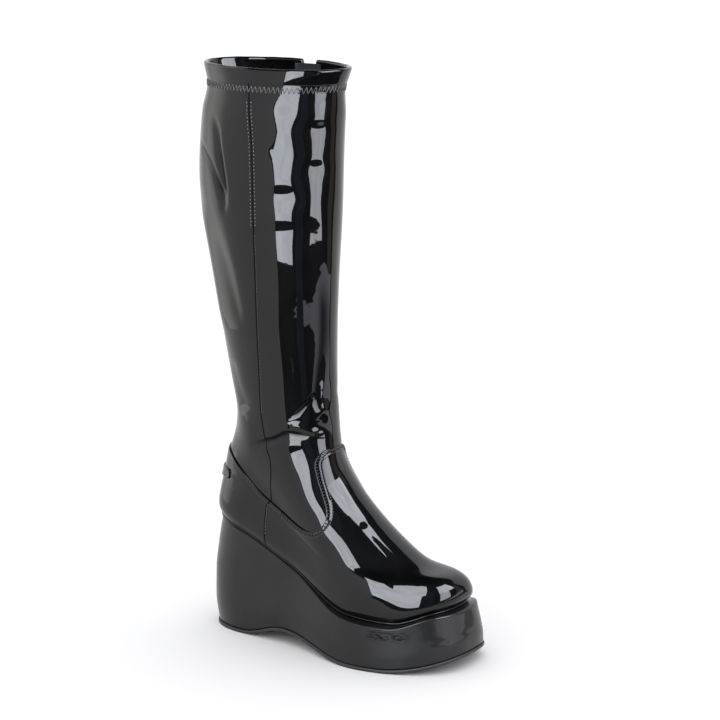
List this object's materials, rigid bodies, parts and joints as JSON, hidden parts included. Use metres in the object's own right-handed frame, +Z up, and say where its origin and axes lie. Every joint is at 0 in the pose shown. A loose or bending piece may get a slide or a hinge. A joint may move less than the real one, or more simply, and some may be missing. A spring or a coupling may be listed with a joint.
{
  "type": "platform boot",
  "caption": "Right knee-high boot in black patent with a wedge platform sole, side zip, folded collar and a hinged zip pull.",
  "frame": {"origin": "middle of the heel's flat resting place on the floor", "axes": "+X towards the toe, +Y towards the inner side of the foot, +Z up the shaft"},
  "size_m": [0.2648, 0.1111, 0.4979],
  "materials": {
    "patent_upper": "high gloss patent",
    "patent_sole": "gloss patent over a foam wedge",
    "outsole_rubber": "matte",
    "insole_lining": "matte lining",
    "zip_textile": "matte woven tape",
    "slider_metal": "black lacquered metal"
  },
  "bodies": {
    "boot": {"outsole": "outsole_rubber", "wedge_platform": "patent_sole", "rand": "patent_sole", "insole": "insole_lining", "upper": "patent_upper", "galosh": "patent_upper", "heel_tab": "patent_upper", "collar_band": "patent_upper", "zip_chain": "zip_textile", "zip_guard": "zip_textile", "zip_slider": "slider_metal"},
    "pull": {"zip_pull": "slider_metal"}
  },
  "joints": [
    {"name": "pull_hinge", "type": "hinge", "parent": "boot", "child": "pull", "pos_m": [0.03874, 0.0518, 0.47622], "axis": [1, 0, 0], "range_deg": [0, 160]}
  ]
}
